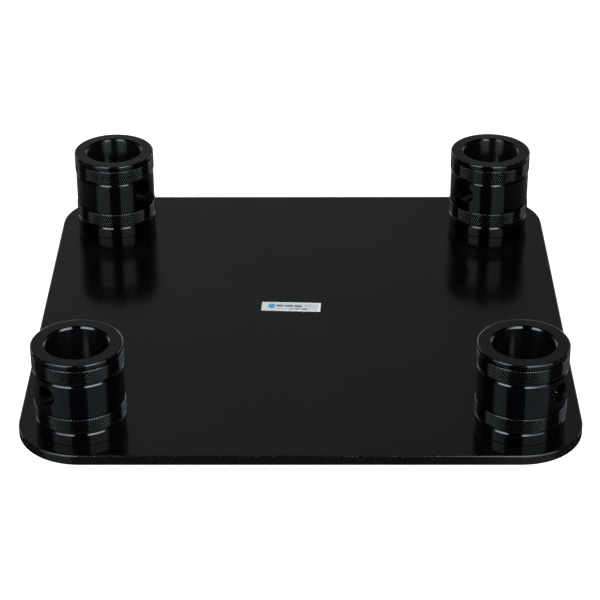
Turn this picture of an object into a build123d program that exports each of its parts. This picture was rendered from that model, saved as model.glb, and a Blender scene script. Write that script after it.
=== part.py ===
from build123d import *

import math
import os

# A four-point base plate for square box truss: a flat steel plate, four turned
# aluminium receivers that the truss's conical spigots drop into, and one countersunk
# screw per receiver, driven from below.
#
# Frame: millimetres, +Z up, origin at the middle of the plate's underside.
# -Y is the front, +X the right.

# ---- driving dimensions ----------------------------------------------------------

PLATE_SIDE = 308.0
PLATE_THICKNESS = 6.0
PLATE_CORNER_RADIUS = 36.0
PLATE_EDGE_RADIUS = 1.0

CHORD_SPACING = 239.0  # centre to centre of the truss's four main tubes

RECEIVER_HEIGHT = 50.0
LIP_RADIUS = 25.0
LIP_EDGE_RADIUS = 1.0
WAIST_RADIUS = 24.6
GROOVE_RADIUS = 23.4
KNURL_ROOT_RADIUS = 24.45
SMALL_CHAMFER = 0.3
BEVEL = 0.6  # of the edge under each band, at 45 degrees

# Heights above the plate's top, up the lower of the two knurled bands.
# The upper band is the same, BAND_PITCH higher.
BAND_PITCH = 30.0
BEVEL_FOOT = 6.1
BEVEL_HEAD = BEVEL_FOOT + BEVEL
KNURL_BOTTOM = 8.0
KNURL_TOP = 16.2
WAIST_BOTTOM = 17.1

MOUTH_RADIUS = 17.9
MOUTH_DEPTH = 0.7
CONE_TOP_RADIUS = 17.1
CONE_BOTTOM_RADIUS = 13.6
SOCKET_FLOOR = 12.0

PIN_HOLE_RADIUS = 5.8
PIN_HOLE_HEIGHT = 28.0  # of its centre, above the plate's top

SCREW_RADIUS = 5.0
SCREW_LENGTH = 16.0
SCREW_HEAD_RADIUS = 10.0
SCREW_HEAD_LAND = 0.5
SCREW_RECESS = 0.2  # the head's face lies this far inside the plate
SCREW_TIP_CHAMFER = 0.8
SCREW_HEX_ACROSS_FLATS = 6.0
SCREW_HEX_DEPTH = 3.4

TAPPED_HOLE_RADIUS = SCREW_RADIUS + 0.05
COUNTERSINK_CLEARANCE = 0.1
CLEARANCE_HOLE_RADIUS = 5.5

LABEL_LENGTH = 35.3
LABEL_WIDTH = 10.3
LABEL_THICKNESS = 0.15
LABEL_CORNER_RADIUS = 0.4
LABEL_X = -6.2
LABEL_Y = 6.5
LABEL_TURN = -2.6

# Corner: (side in X, side in Y, how far the cross hole is turned from the diagonal).
# The pin holes lie on the plate's diagonals, and each receiver was turned a few
# degrees by the tightening of its screw.
RECEIVERS = {
    "front_left": (-1, -1, 5.0),
    "front_right": (1, -1, 7.0),
    "back_left": (-1, 1, 6.0),
    "back_right": (1, 1, 3.0),
}


def corner(name):
    """Centre of a receiver on the plate, and the direction of its pin hole in degrees."""
    side_x, side_y, turn = RECEIVERS[name]
    x = side_x * CHORD_SPACING / 2
    y = side_y * CHORD_SPACING / 2
    return x, y, math.degrees(math.atan2(-side_y, -side_x)) + turn


def finish(built, name):
    """Labels a finished piece and writes it to its own STEP file."""
    built.part.label = name
    export_step(built.part, f"parts/{name}.step")


def half_plane(x, y, z):
    """The upright plane in which profiles are drawn: its X is radial, its Y is up."""
    return Plane(origin=(x, y, z), x_dir=(1, 0, 0), z_dir=(0, -1, 0))


def band_outline(rise):
    """Bevel, groove, knurled band and upper groove, going up the outside."""
    return [
        (WAIST_RADIUS, BEVEL_FOOT + rise),
        (WAIST_RADIUS - BEVEL, BEVEL_HEAD + rise),
        (GROOVE_RADIUS, BEVEL_HEAD + rise),
        (GROOVE_RADIUS, KNURL_BOTTOM + rise),
        (KNURL_ROOT_RADIUS - SMALL_CHAMFER, KNURL_BOTTOM + rise),
        (KNURL_ROOT_RADIUS, KNURL_BOTTOM + SMALL_CHAMFER + rise),
        (KNURL_ROOT_RADIUS, KNURL_TOP - SMALL_CHAMFER + rise),
        (KNURL_ROOT_RADIUS - SMALL_CHAMFER, KNURL_TOP + rise),
        (GROOVE_RADIUS, KNURL_TOP + rise),
        (GROOVE_RADIUS, WAIST_BOTTOM + rise),
    ]


def receiver_outline():
    """Half section of a receiver, as (radius, height above the plate's top)."""
    foot = [(TAPPED_HOLE_RADIUS, 0), (WAIST_RADIUS - SMALL_CHAMFER, 0), (WAIST_RADIUS, SMALL_CHAMFER)]
    waist = [
        (WAIST_RADIUS - SMALL_CHAMFER, WAIST_BOTTOM),
        (WAIST_RADIUS, WAIST_BOTTOM + SMALL_CHAMFER),
    ]
    lip = [
        (LIP_RADIUS - SMALL_CHAMFER, WAIST_BOTTOM + BAND_PITCH),
        (LIP_RADIUS, WAIST_BOTTOM + BAND_PITCH + SMALL_CHAMFER),
        (LIP_RADIUS, RECEIVER_HEIGHT),
    ]
    mouth_bottom = RECEIVER_HEIGHT - MOUTH_DEPTH
    socket = [
        (MOUTH_RADIUS, RECEIVER_HEIGHT),
        (MOUTH_RADIUS, mouth_bottom),
        (CONE_TOP_RADIUS, mouth_bottom - (MOUTH_RADIUS - CONE_TOP_RADIUS)),
        (CONE_BOTTOM_RADIUS, SOCKET_FLOOR),
        (TAPPED_HOLE_RADIUS, SOCKET_FLOOR),
    ]
    return foot + band_outline(0) + waist + band_outline(BAND_PITCH) + lip + socket


def make_receiver(name):
    """A turned receiver: conical socket, two knurled bands, cross hole, tapped foot."""
    x, y, pin_direction = corner(name)
    axis = Axis((x, y, 0), (0, 0, 1))
    pin_axis = Vector(1, 0, 0).rotate(Axis.Z, pin_direction)
    pin_centre = Vector(x, y, PLATE_THICKNESS + PIN_HOLE_HEIGHT)
    with BuildPart() as receiver:
        with BuildSketch(half_plane(x, y, PLATE_THICKNESS)):
            with BuildLine():
                Polyline(*receiver_outline(), close=True)
            make_face()
        revolve(axis=axis)
        top_ring = receiver.faces().sort_by(Axis.Z)[-1]
        fillet(top_ring.outer_wire().edges(), LIP_EDGE_RADIUS)
        with BuildSketch(Plane(origin=pin_centre, z_dir=pin_axis)):
            Circle(PIN_HOLE_RADIUS)
        extrude(amount=LIP_RADIUS + 1, both=True, mode=Mode.SUBTRACT)
    finish(receiver, f"receiver_{name}")


def make_screw(name):
    """A countersunk socket screw, head down in the plate, shank up into the receiver."""
    x, y, _ = corner(name)
    cone_height = SCREW_HEAD_RADIUS - SCREW_RADIUS
    with BuildPart() as screw:
        with BuildSketch(half_plane(x, y, SCREW_RECESS)):
            with BuildLine():
                Polyline(
                    (0, 0),
                    (SCREW_HEAD_RADIUS, 0),
                    (SCREW_HEAD_RADIUS, SCREW_HEAD_LAND),
                    (SCREW_RADIUS, SCREW_HEAD_LAND + cone_height),
                    (SCREW_RADIUS, SCREW_LENGTH - SCREW_TIP_CHAMFER),
                    (SCREW_RADIUS - SCREW_TIP_CHAMFER, SCREW_LENGTH),
                    (0, SCREW_LENGTH),
                    close=True,
                )
            make_face()
        revolve(axis=Axis((x, y, 0), (0, 0, 1)))
        with BuildSketch(Plane.XY.offset(SCREW_RECESS)):
            with Locations((x, y)):
                RegularPolygon(SCREW_HEX_ACROSS_FLATS / 2, 6, major_radius=False)
        extrude(amount=SCREW_HEX_DEPTH, mode=Mode.SUBTRACT)
    finish(screw, f"screw_{name}")


os.makedirs("parts", exist_ok=True)

# ---- the plate, with a countersunk hole under each receiver -------------------------

hole_profile = [
    (0, -1),
    (SCREW_HEAD_RADIUS + COUNTERSINK_CLEARANCE, -1),
    (SCREW_HEAD_RADIUS + COUNTERSINK_CLEARANCE, SCREW_RECESS + SCREW_HEAD_LAND),
    (
        CLEARANCE_HOLE_RADIUS,
        SCREW_RECESS + SCREW_HEAD_LAND + SCREW_HEAD_RADIUS + COUNTERSINK_CLEARANCE - CLEARANCE_HOLE_RADIUS,
    ),
    (CLEARANCE_HOLE_RADIUS, PLATE_THICKNESS + 1),
    (0, PLATE_THICKNESS + 1),
]

with BuildPart() as base_plate:
    with BuildSketch():
        RectangleRounded(PLATE_SIDE, PLATE_SIDE, PLATE_CORNER_RADIUS)
    extrude(amount=PLATE_THICKNESS)
    rims = base_plate.faces().filter_by(Axis.Z).edges()
    fillet(rims, PLATE_EDGE_RADIUS)
    for receiver_name in RECEIVERS:
        hole_x, hole_y, _ = corner(receiver_name)
        with BuildSketch(half_plane(hole_x, hole_y, 0)):
            with BuildLine():
                Polyline(*hole_profile, close=True)
            make_face()
        revolve(axis=Axis((hole_x, hole_y, 0), (0, 0, 1)), mode=Mode.SUBTRACT)
finish(base_plate, "base_plate")

# ---- the adhesive label, a little off the middle of the plate ---------------------

with BuildPart() as label:
    with BuildSketch(Plane.XY.offset(PLATE_THICKNESS)):
        with Locations(Location((LABEL_X, LABEL_Y), LABEL_TURN)):
            RectangleRounded(LABEL_LENGTH, LABEL_WIDTH, LABEL_CORNER_RADIUS)
    extrude(amount=LABEL_THICKNESS)
finish(label, "label")

# ---- receivers and screws -----------------------------------------------------------

for receiver_name in RECEIVERS:
    make_receiver(receiver_name)
    make_screw(receiver_name)
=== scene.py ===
import math

import bpy
from mathutils import Matrix, Vector


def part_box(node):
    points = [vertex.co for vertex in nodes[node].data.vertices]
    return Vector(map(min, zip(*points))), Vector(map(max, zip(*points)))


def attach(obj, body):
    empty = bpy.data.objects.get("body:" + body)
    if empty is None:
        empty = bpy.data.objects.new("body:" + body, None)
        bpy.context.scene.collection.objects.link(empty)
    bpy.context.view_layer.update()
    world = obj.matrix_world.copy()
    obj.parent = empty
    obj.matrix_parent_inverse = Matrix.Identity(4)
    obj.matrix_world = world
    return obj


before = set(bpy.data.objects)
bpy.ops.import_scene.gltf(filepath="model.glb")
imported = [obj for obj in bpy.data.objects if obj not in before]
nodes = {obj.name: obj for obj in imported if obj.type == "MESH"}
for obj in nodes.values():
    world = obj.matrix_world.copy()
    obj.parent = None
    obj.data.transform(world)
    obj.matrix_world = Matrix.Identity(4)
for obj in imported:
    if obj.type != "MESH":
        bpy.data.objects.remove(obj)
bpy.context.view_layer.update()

# ---- sizes of the pieces that are made here, in metres ---------------------------------

MM = 0.001
CORNERS = ("front_left", "front_right", "back_left", "back_right")

# Knurled bands: their heights above a receiver's foot, and the teeth. The inside of each
# ring is hidden in the receiver's wall.
BAND_BOTTOMS = {"lower": 8.0 * MM, "upper": 38.0 * MM}
BAND_HEIGHT = 8.2 * MM
KNURL_TEETH = 113
KNURL_STEPS = 8  # grid columns for each tooth
KNURL_ROWS = 28
KNURL_ROOT = 24.5 * MM
KNURL_CREST = 24.97 * MM
KNURL_INSIDE = 24.1 * MM
KNURL_FLANK = 0.5  # of half a tooth, before its flat top
KNURL_TOP_CHAMFER = 0.5 * MM
KNURL_BOTTOM_CHAMFER = 0.4 * MM

# ---- places for the shaders, in millimetres from a receiver's foot or its axis ------------

# Lower edges of the bevels under the bands, and their height.
BEVELS = (6.1, 36.1)
BEVEL_HEIGHT = 0.6

# The cross holes: their directions in degrees from +X, height and radius.
PIN_DIRECTIONS = {"front_left": 50.0, "front_right": 142.0, "back_left": -39.0, "back_right": -132.0}
PIN_HEIGHT = 28.0
PIN_RADIUS = 5.8

RIM_HEIGHT = 50.0
LIP_RADIUS = 25.0
MOUTH_RADIUS = 17.9
SCREW_HEAD_RADIUS = 10.0

PLATE_CORNER_RADIUS = 36.0
PLATE_MIDDLE_HEIGHT = 3.0

# ---- roughness of the anodised aluminium ---------------------------------------------------

WALL_ROUGHNESS = 0.14
KNURL_ROUGHNESS = 0.15
EDGE_ROUGHNESS = 0.12  # of the bevels and the rounded lip
FACE_ROUGHNESS = 0.10  # of the top
# In the sockets: deep down, and near the mouths at the front and at the back.
DEEP_ROUGHNESS = 0.14
FRONT_MOUTH_ROUGHNESS = 0.15
BACK_MOUTH_ROUGHNESS = 0.28

# ---- label, in millimetres and degrees ------------------------------------------------------

LABEL_TURN = -2.6
PRINT_BELOW = 0.02  # how far the prints reach into the film and stand above it
PRINT_ABOVE = 0.01
BAR_CORNER_STEPS = 4

# Bars as (x, y, width, height, corner radius) from the label's middle.
PRINTS = {
    "label_tab": [(-11.7, 0.5, 4.0, 5.6, 1.9)],
    "label_bars": [
        (-6.9, 1.0, 4.4, 2.5, 0.3),
        (-1.4, 0.9, 5.4, 2.3, 0.3),
        (4.2, 0.8, 4.4, 2.5, 0.3),
        (0.6, -2.6, 2.6, 1.2, 0.2),
        (3.9, -2.6, 2.6, 1.5, 0.2),
        (7.9, -2.6, 3.6, 1.6, 0.2),
    ],
    "label_fine_bars": [
        (10.0, 1.9, 4.6, 0.5, 0.1),
        (9.4, 0.6, 3.4, 0.5, 0.1),
        (-5.4, -2.4, 7.4, 0.5, 0.1),
    ],
}

# ---- studio, in metres and degrees ------------------------------------------------------------

# The points of the floor that each softbox stands between, and its two parts as
# (lower edge, upper edge, brightness). They reach the walls by way of the dark plate, so
# they are weak lights.
SOFTBOXES = {
    "left": ((-0.703, -0.338), (-0.280, -0.570)),
    "right": ((0.172, -0.740), (0.458, -0.280)),
}
SOFTBOX_PARTS = {"low": (0.03, 0.60, 2.4), "high": (0.60, 1.45, 8.0)}
SOFTBOX_COLOR = (0.90, 1.0, 1.04)
SURROUND_COLOR = (0.955, 0.985, 1.05)

FLOOR_REACH = 4.0
FLOOR_LEVEL = -0.0002
# The faint shine in reflections of the floor, as (where it starts, where it is full,
# strength at the first, strength at the second).
SHINE_ASIDE = (0.155, 0.21, 0.0, 0.05)
SHINE_BEHIND = (0.08, 0.30, 0.0, 0.15)

CAMERA_PLACE = (0.006904, -1.07297, 0.62086)
CAMERA_PITCH = 29.475  # downwards
CAMERA_YAW = 0.413
CAMERA_ROLL = -0.235
CAMERA_LENS = 124.48  # millimetres, on a 36 mm sensor


# ---- shader helpers ----------------------------------------------------------------------


class Shader:
    """A node tree, with one short call for each kind of node used below."""

    def __init__(self, tree):
        self.tree = tree
        tree.nodes.clear()

    def node(self, kind, inputs=(), **settings):
        made = self.tree.nodes.new(kind)
        for name, value in settings.items():
            setattr(made, name, value)
        for key, value in dict(inputs).items():
            if isinstance(value, bpy.types.NodeSocket):
                self.tree.links.new(value, made.inputs[key])
            else:
                made.inputs[key].default_value = value
        return made

    def math(self, operation, *values):
        inputs = dict(enumerate(values))
        return self.node("ShaderNodeMath", inputs, operation=operation).outputs[0]

    def vector(self, operation, *values, out=0):
        inputs = dict(enumerate(values))
        return self.node("ShaderNodeVectorMath", inputs, operation=operation).outputs[out]

    def scaled(self, vector, factor):
        return self.node("ShaderNodeVectorMath", {0: vector, "Scale": factor}, operation="SCALE").outputs[0]

    def length(self, vector):
        return self.vector("LENGTH", vector, out=1)

    def product(self, first, second):
        return self.math("MULTIPLY", first, second)

    def hypotenuse(self, x, y):
        return self.math("SQRT", self.math("ADD", self.product(x, x), self.product(y, y)))

    def place(self, centre=None):
        """Where the shaded point is on the object, in millimetres from the centre."""
        where = self.node("ShaderNodeTexCoord").outputs["Object"]
        if centre is not None:
            where = self.vector("SUBTRACT", where, tuple(centre))
        return self.scaled(where, 1 / MM)

    def split(self, vector):
        return self.node("ShaderNodeSeparateXYZ", {0: vector}).outputs

    def join(self, x, y, z):
        return self.node("ShaderNodeCombineXYZ", {0: x, 1: y, 2: z}).outputs[0]

    def smooth(self, value, low, high, start=0.0, end=1.0):
        """Goes smoothly from start to end as value goes from low to high."""
        inputs = {0: value, 1: low, 2: high, 3: start, 4: end}
        return self.node("ShaderNodeMapRange", inputs, interpolation_type="SMOOTHSTEP").outputs[0]

    def fall(self, value, low, high):
        """Goes smoothly from 1 to 0 as value goes from low to high."""
        return self.smooth(value, low, high, 1.0, 0.0)

    def between(self, value, low, low_full, high_full, high):
        """1 between the two full values, falling smoothly to 0 on both sides of them."""
        return self.product(self.smooth(value, low, low_full), self.fall(value, high_full, high))

    def noise(self, vector, scale, detail=2.0, roughness=0.5):
        inputs = {"Vector": vector, "Scale": scale, "Detail": detail, "Roughness": roughness}
        return self.node("ShaderNodeTexNoise", inputs).outputs[0]

    def line_noise(self, value, scale, detail=2.0):
        inputs = {"W": value, "Scale": scale, "Detail": detail}
        return self.node("ShaderNodeTexNoise", inputs, noise_dimensions="1D").outputs[0]

    def mix(self, factor, first, second):
        """Mixes two colours."""
        inputs = {0: factor, 6: first, 7: second}
        return self.node("ShaderNodeMix", inputs, data_type="RGBA").outputs[2]

    def bump(self, height, strength, distance):
        inputs = {"Height": height, "Strength": strength, "Distance": distance}
        return self.node("ShaderNodeBump", inputs).outputs[0]

    def output(self, shader, kind="ShaderNodeOutputMaterial"):
        self.node(kind, {0: shader})

    def principled(self, inputs):
        self.output(self.node("ShaderNodeBsdfPrincipled", inputs).outputs[0])


def material(name):
    made = bpy.data.materials.new(name)
    made.use_nodes = True
    return made, Shader(made.node_tree)


def rgb(red, green, blue):
    return (red, green, blue, 1.0)


def grey(value):
    return (value, value, value, 1.0)


# ---- materials -----------------------------------------------------------------------------


def plate_half():
    """Half the plate's side in millimetres."""
    low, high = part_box("base_plate")
    return (high.x - low.x) / 2 / MM


def powder_coat():
    """Satin black powder coat on steel: fine orange peel, faint scuffs, wear along the rim, and light
    painted on its sides.
    """
    made, s = material("plate_powder_coat")
    place = s.place()
    cloud = s.noise(place, 0.012, 3.0, 0.6)
    grain = s.noise(place, 1.7, 3.0, 0.6)

    # Distance outside the plate's outline, negative inside it.
    straight = plate_half() - PLATE_CORNER_RADIUS
    x, y, z = s.split(place)
    corner_x = s.math("SUBTRACT", s.math("ABSOLUTE", x), straight)
    corner_y = s.math("SUBTRACT", s.math("ABSOLUTE", y), straight)
    outside = s.join(s.math("MAXIMUM", corner_x, 0.0), s.math("MAXIMUM", corner_y, 0.0), 0.0)
    inside = s.math("MINIMUM", s.math("MAXIMUM", corner_x, corner_y), 0.0)
    reach = s.math("SUBTRACT", s.math("ADD", s.length(outside), inside), PLATE_CORNER_RADIUS)
    height = s.math("ABSOLUTE", s.math("SUBTRACT", z, PLATE_MIDDLE_HEIGHT))
    rim = s.product(s.smooth(reach, -1.1, -0.25), s.smooth(height, 1.9, 2.7))
    chips = s.smooth(s.noise(place, 0.55, 4.0, 0.65), 0.52, 0.66)
    worn = s.product(rim, chips)

    # Long faint scuffs in two directions.
    streaks = []
    for turn, stretch in ((0.5, 0.035), (-1.1, 0.05)):
        turned = s.node("ShaderNodeVectorRotate", {"Vector": place, "Angle": turn}).outputs[0]
        drawn = s.vector("MULTIPLY", turned, (stretch, 1.4, 1.0))
        streaks.append(s.smooth(s.noise(drawn, 0.8, 2.0, 0.5), 0.66, 0.74))
    scuffed = s.smooth(s.noise(place, 0.02, 1.0), 0.45, 0.6)
    scuffs = s.product(s.math("MAXIMUM", *streaks), scuffed)

    color = s.mix(cloud, rgb(0.0005, 0.0007, 0.0011), rgb(0.0009, 0.0012, 0.0018))
    # Painted light: the plate's sides get a lighter, warmer copy of the coat's colour than its top.
    side = s.smooth(reach, -0.5, -0.15)
    lit_side_color = s.mix(cloud, rgb(0.0026, 0.0026, 0.0019), rgb(0.0033, 0.0033, 0.0025))
    color = s.mix(side, color, lit_side_color)
    color = s.mix(s.product(scuffs, 0.2), color, grey(0.008))
    color = s.mix(s.product(worn, 0.25), color, rgb(0.03, 0.031, 0.032))
    rough = s.smooth(cloud, 0.3, 0.7, 0.12, 0.16)
    rough = s.math("ADD", rough, s.product(scuffs, 0.05))
    rough = s.math("ADD", rough, s.product(worn, 0.12))
    normal = s.bump(grain, 0.02, 0.0002)
    s.principled({"Base Color": color, "Roughness": rough, "Normal": normal})
    return made


def worn_edges(s, radius, z):
    """How bright the rim, the mouth and the bevels of a receiver can wear."""
    lip = s.product(
        s.smooth(radius, LIP_RADIUS - 1.5, LIP_RADIUS - 0.8),
        s.smooth(z, RIM_HEIGHT - 1.3, RIM_HEIGHT - 0.6),
    )
    mouth = s.product(
        s.between(radius, MOUTH_RADIUS - 0.3, MOUTH_RADIUS - 0.05, MOUTH_RADIUS + 0.1, MOUTH_RADIUS + 0.35),
        s.smooth(z, RIM_HEIGHT - 0.4, RIM_HEIGHT - 0.1),
    )
    edges = s.math("MAXIMUM", s.product(lip, 0.06), s.product(mouth, 0.12))
    for level in BEVELS:
        near = s.math("ABSOLUTE", s.math("SUBTRACT", z, level))
        line = s.product(s.fall(near, 0.08, 0.22), s.smooth(radius, 24.3, 24.5))
        edges = s.math("MAXIMUM", edges, s.product(line, 0.06))
    return edges


def worn_pin_hole(s, place, radius, z, pin_direction):
    """How bright the edge of a receiver's cross hole can wear."""
    across = math.radians(pin_direction)
    sideways = s.vector("DOT_PRODUCT", place, (-math.sin(across), math.cos(across), 0.0), out=1)
    upward = s.math("SUBTRACT", z, PIN_HEIGHT)
    away = s.length(s.join(sideways, upward, 0.0))
    hole = s.between(away, PIN_RADIUS - 0.2, PIN_RADIUS, PIN_RADIUS + 0.1, PIN_RADIUS + 0.35)
    return s.product(s.product(hole, s.smooth(radius, 22.8, 23.6)), 0.10)


def receiver_roughness(s, radius, z, mouth_roughness):
    """Roughness of a receiver's wall, edges, top and socket, and where the socket is."""
    bands = [
        s.between(z, level - 0.1, level, level + BEVEL_HEIGHT, level + BEVEL_HEIGHT + 0.1)
        for level in BEVELS
    ]
    rounding = s.product(s.smooth(radius, 23.5, 23.7), s.smooth(z, RIM_HEIGHT - 1.5, RIM_HEIGHT - 1.2))
    edge = s.math("MAXIMUM", s.math("MAXIMUM", *bands), rounding)
    rough = s.smooth(edge, 0.0, 1.0, WALL_ROUGHNESS, EDGE_ROUGHNESS)
    top = s.product(s.fall(radius, 23.5, 23.7), s.smooth(z, RIM_HEIGHT - 0.2, RIM_HEIGHT - 0.05))
    rough = s.smooth(top, 0.0, 1.0, rough, FACE_ROUGHNESS)
    socket = s.product(
        s.fall(radius, MOUTH_RADIUS - 0.6, MOUTH_RADIUS - 0.3),
        s.fall(z, RIM_HEIGHT - 0.8, RIM_HEIGHT - 0.6),
    )
    rubbed_in = s.smooth(z, 37.0, 43.0, DEEP_ROUGHNESS, mouth_roughness)
    return s.smooth(socket, 0.0, 1.0, rough, rubbed_in), socket


def anodised(name, centre, pin_direction=None, mouth_roughness=None):
    """Black anodised aluminium, turned about the axis through centre, with bright worn edges.
    Without a pin direction it is the knurling's, otherwise a receiver's."""
    made, s = material(name)
    place = s.place(centre)
    x, y, z = s.split(place)
    radius = s.hypotenuse(x, y)
    cloud = s.noise(place, 0.09, 3.0, 0.6)
    rings = s.line_noise(s.math("SUBTRACT", z, radius), 2.6, 3.0)
    rubbed = s.smooth(s.noise(place, 0.5, 4.0, 0.65), 0.5, 0.68)

    edges = worn_edges(s, radius, z)
    if pin_direction is not None:
        edges = s.math("MAXIMUM", edges, worn_pin_hole(s, place, radius, z, pin_direction))
    worn = s.product(edges, rubbed)
    color = s.mix(cloud, rgb(0.0002, 0.0004, 0.0008), rgb(0.0006, 0.0009, 0.0014))
    color = s.mix(worn, color, rgb(0.16, 0.16, 0.165))

    rough, anisotropic = KNURL_ROUGHNESS, 0.0
    if pin_direction is not None:
        rough, socket = receiver_roughness(s, radius, z, mouth_roughness)
        # Painted light: the socket's walls get a lighter, bluer copy of the anodised colour inside the
        # shaded bore.
        color = s.mix(socket, color, rgb(0.0018, 0.0021, 0.0027))
        anisotropic = 1.0
    rough = s.math("ADD", rough, s.product(s.math("SUBTRACT", cloud, 0.5), 0.03))
    rough = s.math("ADD", rough, s.product(s.math("SUBTRACT", rings, 0.5), 0.02))
    s.principled({
        "Base Color": color,
        "Metallic": s.product(worn, 0.9),
        "Roughness": rough,
        "IOR": 1.5,
        "Anisotropic": anisotropic,
        "Anisotropic Rotation": 0.25,
        "Tangent": s.node("ShaderNodeTangent", direction_type="RADIAL", axis="Z").outputs[0],
        "Normal": s.bump(rings, 0.04, 0.00006),
    })
    return made


def black_oxide(name, centre):
    """Black oxide on a steel screw: turned head, rubbed bright round the hexagon and the rim."""
    made, s = material(name)
    place = s.place(centre)
    x, y, z = s.split(place)
    radius = s.hypotenuse(x, y)
    cloud = s.noise(place, 0.35, 4.0, 0.6)
    rings = s.line_noise(s.math("SUBTRACT", z, radius), 3.5, 3.0)
    rubbed = s.smooth(s.noise(place, 0.9, 4.0, 0.65), 0.48, 0.66)
    rim = s.smooth(radius, SCREW_HEAD_RADIUS - 0.5, SCREW_HEAD_RADIUS - 0.1)
    hexagon = s.between(radius, 2.9, 3.1, 3.5, 4.0)
    worn = s.product(s.math("MAXIMUM", rim, hexagon), rubbed)
    color = s.mix(cloud, grey(0.012), rgb(0.028, 0.027, 0.027))
    color = s.mix(worn, color, rgb(0.22, 0.21, 0.2))
    rough = s.smooth(cloud, 0.3, 0.7, 0.32, 0.46)
    normal = s.bump(rings, 0.25, 0.00008)
    s.principled({"Base Color": color, "Metallic": 0.8, "Roughness": rough, "Normal": normal})
    return made


def label_film():
    """Silver-white film with a slightly greyer printed field and faint dirt, with light and shade painted
    across it from left to right.
    """
    made, s = material("label_film")
    low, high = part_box("label")
    place = s.place((low + high) / 2)
    turned = s.node("ShaderNodeVectorRotate", {"Vector": place, "Angle": math.radians(-LABEL_TURN)})
    x, y, _ = s.split(turned.outputs[0])
    inner_x = s.fall(s.math("ABSOLUTE", s.math("SUBTRACT", x, -0.2)), 16.3, 16.6)
    inner_y = s.fall(s.math("ABSOLUTE", y), 4.1, 4.4)
    field = s.product(inner_x, inner_y)
    # Painted light and shade from left to right: the border goes from darker at the left to lighter at the
    # right, and the printed field from a little lighter to a little darker.
    shade = s.smooth(x, -14.0, 9.0)
    cloud = s.noise(place, 0.35, 3.0, 0.6)
    color = s.mix(shade, rgb(0.70, 0.67, 0.65), rgb(0.64, 0.62, 0.61))
    border = s.mix(shade, rgb(0.71, 0.67, 0.65), rgb(0.92, 0.87, 0.84))
    color = s.mix(field, border, color)
    color = s.mix(s.product(cloud, 0.14), color, rgb(0.3, 0.3, 0.29))
    rough = s.smooth(cloud, 0.3, 0.7, 0.38, 0.5)
    normal = s.bump(s.noise(place, 6.0, 2.0), 0.1, 0.00003)
    s.principled({"Base Color": color, "Roughness": rough, "Normal": normal})
    return made


def ink(name, light, dark):
    """Printing ink, a little uneven."""
    made, s = material(name)
    patch = s.smooth(s.noise(s.place(), 0.8, 4.0, 0.7), 0.35, 0.65)
    color = s.mix(patch, light, dark)
    rough = s.smooth(patch, 0.0, 1.0, 0.4, 0.55)
    normal = s.bump(patch, 0.1, 0.00002)
    s.principled({"Base Color": color, "Roughness": rough, "Normal": normal})
    return made


def dress(mesh, made):
    """Gives a mesh that one material."""
    mesh.materials.clear()
    mesh.materials.append(made)


# ---- meshes ----------------------------------------------------------------------------------


def add(name, data):
    """Puts a mesh, a light or a camera into the scene."""
    made = bpy.data.objects.new(name, data)
    bpy.context.scene.collection.objects.link(made)
    return made


def new_mesh(name, vertices, faces):
    """A mesh with flat faces."""
    mesh = bpy.data.meshes.new(name)
    mesh.from_pydata(vertices, [], faces)
    mesh.validate()
    mesh.update()
    return mesh


def triangle_wave(value):
    """0 at whole numbers, 1 half way between them."""
    return 1 - abs(2 * (value - math.floor(value)) - 1)


def flank(value):
    """Rises from 0 to 1 over the groove's side, and stays at 1 on the flat top."""
    return min(1.0, triangle_wave(value) / KNURL_FLANK)


def knurl_radius(column, row):
    """Radius of a knurled band at a point of its grid. Both rows of grooves pass through
    the grid's corners, so every groove and ridge is an edge of the mesh."""
    right = (column + row) / KNURL_STEPS
    left = (column - row) / KNURL_STEPS
    tooth = min(flank(right), flank(left))
    height = row / KNURL_ROWS * BAND_HEIGHT
    below_top = BAND_HEIGHT - height
    top_limit = KNURL_CREST - max(0.0, KNURL_TOP_CHAMFER - below_top)
    bottom_limit = KNURL_CREST - max(0.0, KNURL_BOTTOM_CHAMFER - height)
    return min(KNURL_ROOT + (KNURL_CREST - KNURL_ROOT) * tooth, top_limit, bottom_limit)


def knurl_mesh():
    """One closed ring of diamond knurling, its foot at z = 0."""
    columns = KNURL_TEETH * KNURL_STEPS
    turns = [2 * math.pi * column / columns for column in range(columns)]
    vertices = []
    for row in range(KNURL_ROWS + 1):
        for column, angle in enumerate(turns):
            radius = knurl_radius(column, row)
            height = row / KNURL_ROWS * BAND_HEIGHT
            vertices.append((radius * math.cos(angle), radius * math.sin(angle), height))
    inner_start = len(vertices)
    for height in (0.0, BAND_HEIGHT):
        for angle in turns:
            vertices.append((KNURL_INSIDE * math.cos(angle), KNURL_INSIDE * math.sin(angle), height))
    faces = []
    for row in range(KNURL_ROWS):
        for column in range(columns):
            following = (column + 1) % columns
            a = row * columns + column
            b = row * columns + following
            c = (row + 1) * columns + following
            d = (row + 1) * columns + column
            if (column + row + 1) % KNURL_STEPS == 0:  # a groove runs from b to d
                faces += [(a, b, d), (b, c, d)]
            else:
                faces += [(a, b, c), (a, c, d)]
    top = KNURL_ROWS * columns
    for column in range(columns):
        following = (column + 1) % columns
        faces.append((inner_start + column, inner_start + following, following, column))
        upper = inner_start + columns
        faces.append((top + column, top + following, upper + following, upper + column))
        faces.append((upper + column, upper + following, inner_start + following, inner_start + column))
    return new_mesh("knurl", vertices, faces)


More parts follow.
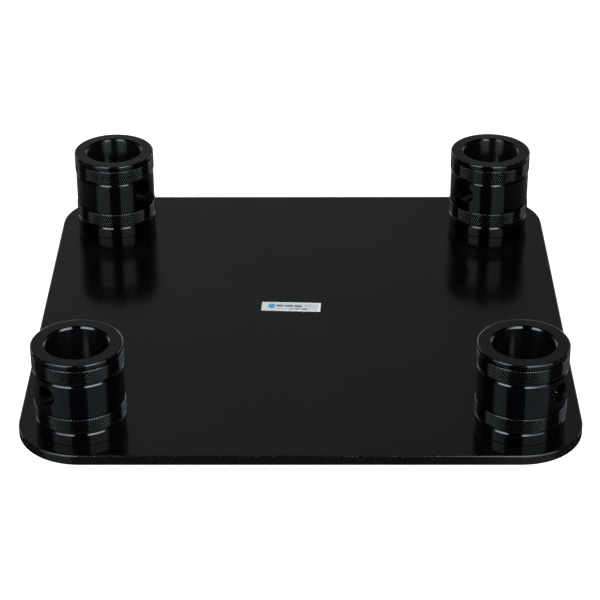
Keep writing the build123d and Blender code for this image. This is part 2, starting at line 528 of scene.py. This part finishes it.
def rounded_bar(x, y, width, height, radius, low, high):
    """Vertices and faces of a flat bar with round corners, from the height low to high."""
    outline = []
    for turn, side_x, side_y in ((0, 1, 1), (90, -1, 1), (180, -1, -1), (270, 1, -1)):
        for step in range(BAR_CORNER_STEPS + 1):
            angle = math.radians(turn + 90 * step / BAR_CORNER_STEPS)
            outline.append((
                x + side_x * (width / 2 - radius) + radius * math.cos(angle),
                y + side_y * (height / 2 - radius) + radius * math.sin(angle),
            ))
    count = len(outline)
    vertices = [(px, py, low) for px, py in outline] + [(px, py, high) for px, py in outline]
    faces = [tuple(range(count - 1, -1, -1)), tuple(range(count, 2 * count))]
    for step in range(count):
        following = (step + 1) % count
        faces.append((step, following, count + following, count + step))
    return vertices, faces


# ---- the CAD nodes get their materials ---------------------------------------------------------

dress(nodes["base_plate"].data, powder_coat())
dress(nodes["label"].data, label_film())

feet = {}
for corner in CORNERS:
    low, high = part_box("receiver_" + corner)
    feet[corner] = Vector(((low.x + high.x) / 2, (low.y + high.y) / 2, low.z))
    mouth = FRONT_MOUTH_ROUGHNESS if corner.startswith("front") else BACK_MOUTH_ROUGHNESS
    turned = anodised("receiver_anodised_" + corner, feet[corner], PIN_DIRECTIONS[corner], mouth)
    dress(nodes["receiver_" + corner].data, turned)
    head = (feet[corner].x, feet[corner].y, 0.0)
    dress(nodes["screw_" + corner].data, black_oxide("screw_black_" + corner, head))

# ---- knurled bands ------------------------------------------------------------------------------

knurl = knurl_mesh()
dress(knurl, anodised("knurl_anodised", (0.0, 0.0, -BAND_BOTTOMS["lower"])))
bands = [(corner, level) for corner in CORNERS for level in BAND_BOTTOMS]
for index, (corner, level) in enumerate(bands):
    band = add(f"knurl_{level}_{corner}", knurl)
    band.location = feet[corner] + Vector((0, 0, BAND_BOTTOMS[level]))
    band.rotation_euler = (0, 0, math.pi / 2 * (index % 4))
    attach(band, "receiver_" + corner)

# ---- what is printed on the label: plain bars and a plain tab ----------------------------------

INKS = {
    "label_tab": ink("ink_blue", rgb(0.13, 0.42, 0.68), rgb(0.02, 0.17, 0.38)),
    "label_bars": ink("ink_grey", grey(0.24), grey(0.13)),
    "label_fine_bars": ink("ink_light_grey", grey(0.42), grey(0.34)),
}
label_low, label_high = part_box("label")
label_middle = (label_low + label_high) / 2
label_turn = Matrix.Rotation(math.radians(LABEL_TURN), 4, "Z")
on_label = Matrix.Translation((label_middle.x, label_middle.y, 0)) @ label_turn
print_low = label_high.z / MM - PRINT_BELOW
print_high = label_high.z / MM + PRINT_ABOVE
for name, bars in PRINTS.items():
    vertices, faces = [], []
    for bar in bars:
        more_vertices, more_faces = rounded_bar(*bar, print_low, print_high)
        faces += [tuple(len(vertices) + index for index in face) for face in more_faces]
        vertices += more_vertices
    mesh = new_mesh(name, [on_label @ (Vector(vertex) * MM) for vertex in vertices], faces)
    dress(mesh, INKS[name])
    printed = add(name, mesh)
    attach(printed, "plate")

# ---- floor ----------------------------------------------------------------------------------------


def pale_floor():
    """Plain pale floor, seen from above only. In reflections it is a dark polished table, with
    a faint shine beside the object and behind it."""
    made, s = material("floor")
    place = s.node("ShaderNodeTexCoord").outputs["Object"]
    color = s.mix(s.noise(place, 3.0, 3.0), grey(0.86), grey(0.88))
    diffuse = s.node("ShaderNodeBsdfDiffuse", {0: color})
    glow = s.node("ShaderNodeEmission", {0: grey(1.0), 1: 1.0})
    solid = s.node("ShaderNodeAddShader", {0: diffuse.outputs[0], 1: glow.outputs[0]})
    x, y, _ = s.split(place)
    aside = s.smooth(s.math("ABSOLUTE", x), *SHINE_ASIDE)
    shine = s.math("ADD", aside, s.smooth(y, *SHINE_BEHIND))
    dark = s.node(
        "ShaderNodeBsdfPrincipled",
        {
            "Base Color": grey(0.002),
            "Roughness": 0.08,
            "Emission Color": grey(1.0),
            "Emission Strength": shine,
        },
    )
    clear = s.node("ShaderNodeBsdfTransparent")
    glossy = s.node("ShaderNodeLightPath").outputs["Is Glossy Ray"]
    below = s.node("ShaderNodeNewGeometry").outputs["Backfacing"]
    above = s.node("ShaderNodeMixShader", {0: glossy, 1: solid.outputs[0], 2: dark.outputs[0]})
    both = s.node("ShaderNodeMixShader", {0: below, 1: above.outputs[0], 2: clear.outputs[0]})
    s.output(both.outputs[0])
    return made


floor_corners = [
    (FLOOR_REACH * side_x, FLOOR_REACH * side_y, FLOOR_LEVEL)
    for side_x, side_y in ((-1, -1), (1, -1), (1, 1), (-1, 1))
]
floor_mesh = new_mesh("floor", floor_corners, [(0, 1, 2, 3)])
dress(floor_mesh, pale_floor())
floor = add("floor", floor_mesh)

# ---- studio: two tall softboxes in front, each in a low and a high part, and a surround ------


def softbox(name, left, right, bottom, top, radiance):
    """An upright rectangular light over two points of the floor, shining towards the object.
    Left and right are its ends as seen from behind it."""
    left, right, up = Vector((*left, 0)), Vector((*right, 0)), Vector((0, 0, 1))
    width = (right - left).length
    height = top - bottom
    data = bpy.data.lights.new(name, "AREA")
    data.shape = "RECTANGLE"
    data.size = width
    data.size_y = height
    data.energy = radiance * math.pi * width * height
    data.color = SOFTBOX_COLOR
    across = (right - left).normalized()
    turn = Matrix((across, up, across.cross(up))).transposed().to_4x4()
    middle = (left + right) / 2 + up * (bottom + top) / 2
    made = add(name, data)
    made.matrix_world = Matrix.Translation(middle) @ turn
    made.visible_camera = False


for side, (left, right) in SOFTBOXES.items():
    for part, (bottom, top, radiance) in SOFTBOX_PARTS.items():
        softbox(f"softbox_{part}_{side}", left, right, bottom, top, radiance)


def surround():
    """White for the camera. For reflections and soft light it is dark in front, white low
    behind the object, and a dim grey higher up there, a little brighter to the left."""
    world = bpy.data.worlds.new("studio")
    bpy.context.scene.world = world
    world.use_nodes = True
    s = Shader(world.node_tree)
    x, y, z = s.split(s.node("ShaderNodeTexCoord").outputs["Generated"])
    level = s.math("MAXIMUM", s.hypotenuse(x, y), 0.001)
    back = s.smooth(s.math("DIVIDE", y, level), 0.38, 0.55)
    low = s.fall(z, 0.20, 0.34)
    dim = s.smooth(s.math("DIVIDE", x, level), -0.35, 0.35, 0.20, 0.13)
    behind = s.math("ADD", dim, s.product(low, 1.1))
    strength = s.math("ADD", s.product(behind, back), 0.005)
    soft = s.node("ShaderNodeBackground", {0: rgb(*SURROUND_COLOR), 1: strength})
    white = s.node("ShaderNodeBackground", {0: grey(1.0), 1: 1.0})
    seen = s.node("ShaderNodeLightPath").outputs["Is Camera Ray"]
    mixed = s.node("ShaderNodeMixShader", {0: seen, 1: soft.outputs[0], 2: white.outputs[0]})
    s.output(mixed.outputs[0], "ShaderNodeOutputWorld")


surround()

# ---- camera -------------------------------------------------------------------------------------------

pitch, yaw, roll = (math.radians(a) for a in (CAMERA_PITCH, CAMERA_YAW, CAMERA_ROLL))
turn = Matrix.Rotation(yaw, 3, "Z")
forward = turn @ Vector((0, math.cos(pitch), -math.sin(pitch)))
upward = turn @ Vector((0, math.sin(pitch), math.cos(pitch)))
rightward = turn @ Vector((1, 0, 0))
camera_x = rightward * math.cos(roll) + upward * math.sin(roll)
camera_y = upward * math.cos(roll) - rightward * math.sin(roll)
camera_data = bpy.data.cameras.new("camera")
camera_data.lens = CAMERA_LENS
camera_data.sensor_width = 36.0
camera_data.clip_start = 0.01
camera_data.clip_end = 50.0
camera = add("camera", camera_data)
camera_turn = Matrix((camera_x, camera_y, -forward)).transposed().to_4x4()
camera.matrix_world = Matrix.Translation(CAMERA_PLACE) @ camera_turn
bpy.context.scene.camera = camera

bpy.context.scene.view_settings.view_transform = "Standard"

# The knurling's teeth are only two or three pixels wide, and denoising would smooth them away.
bpy.context.scene.cycles.use_denoising = False

# ---- bring the scene up to date ---------------------------------------------------------------------------

bpy.context.view_layer.update()
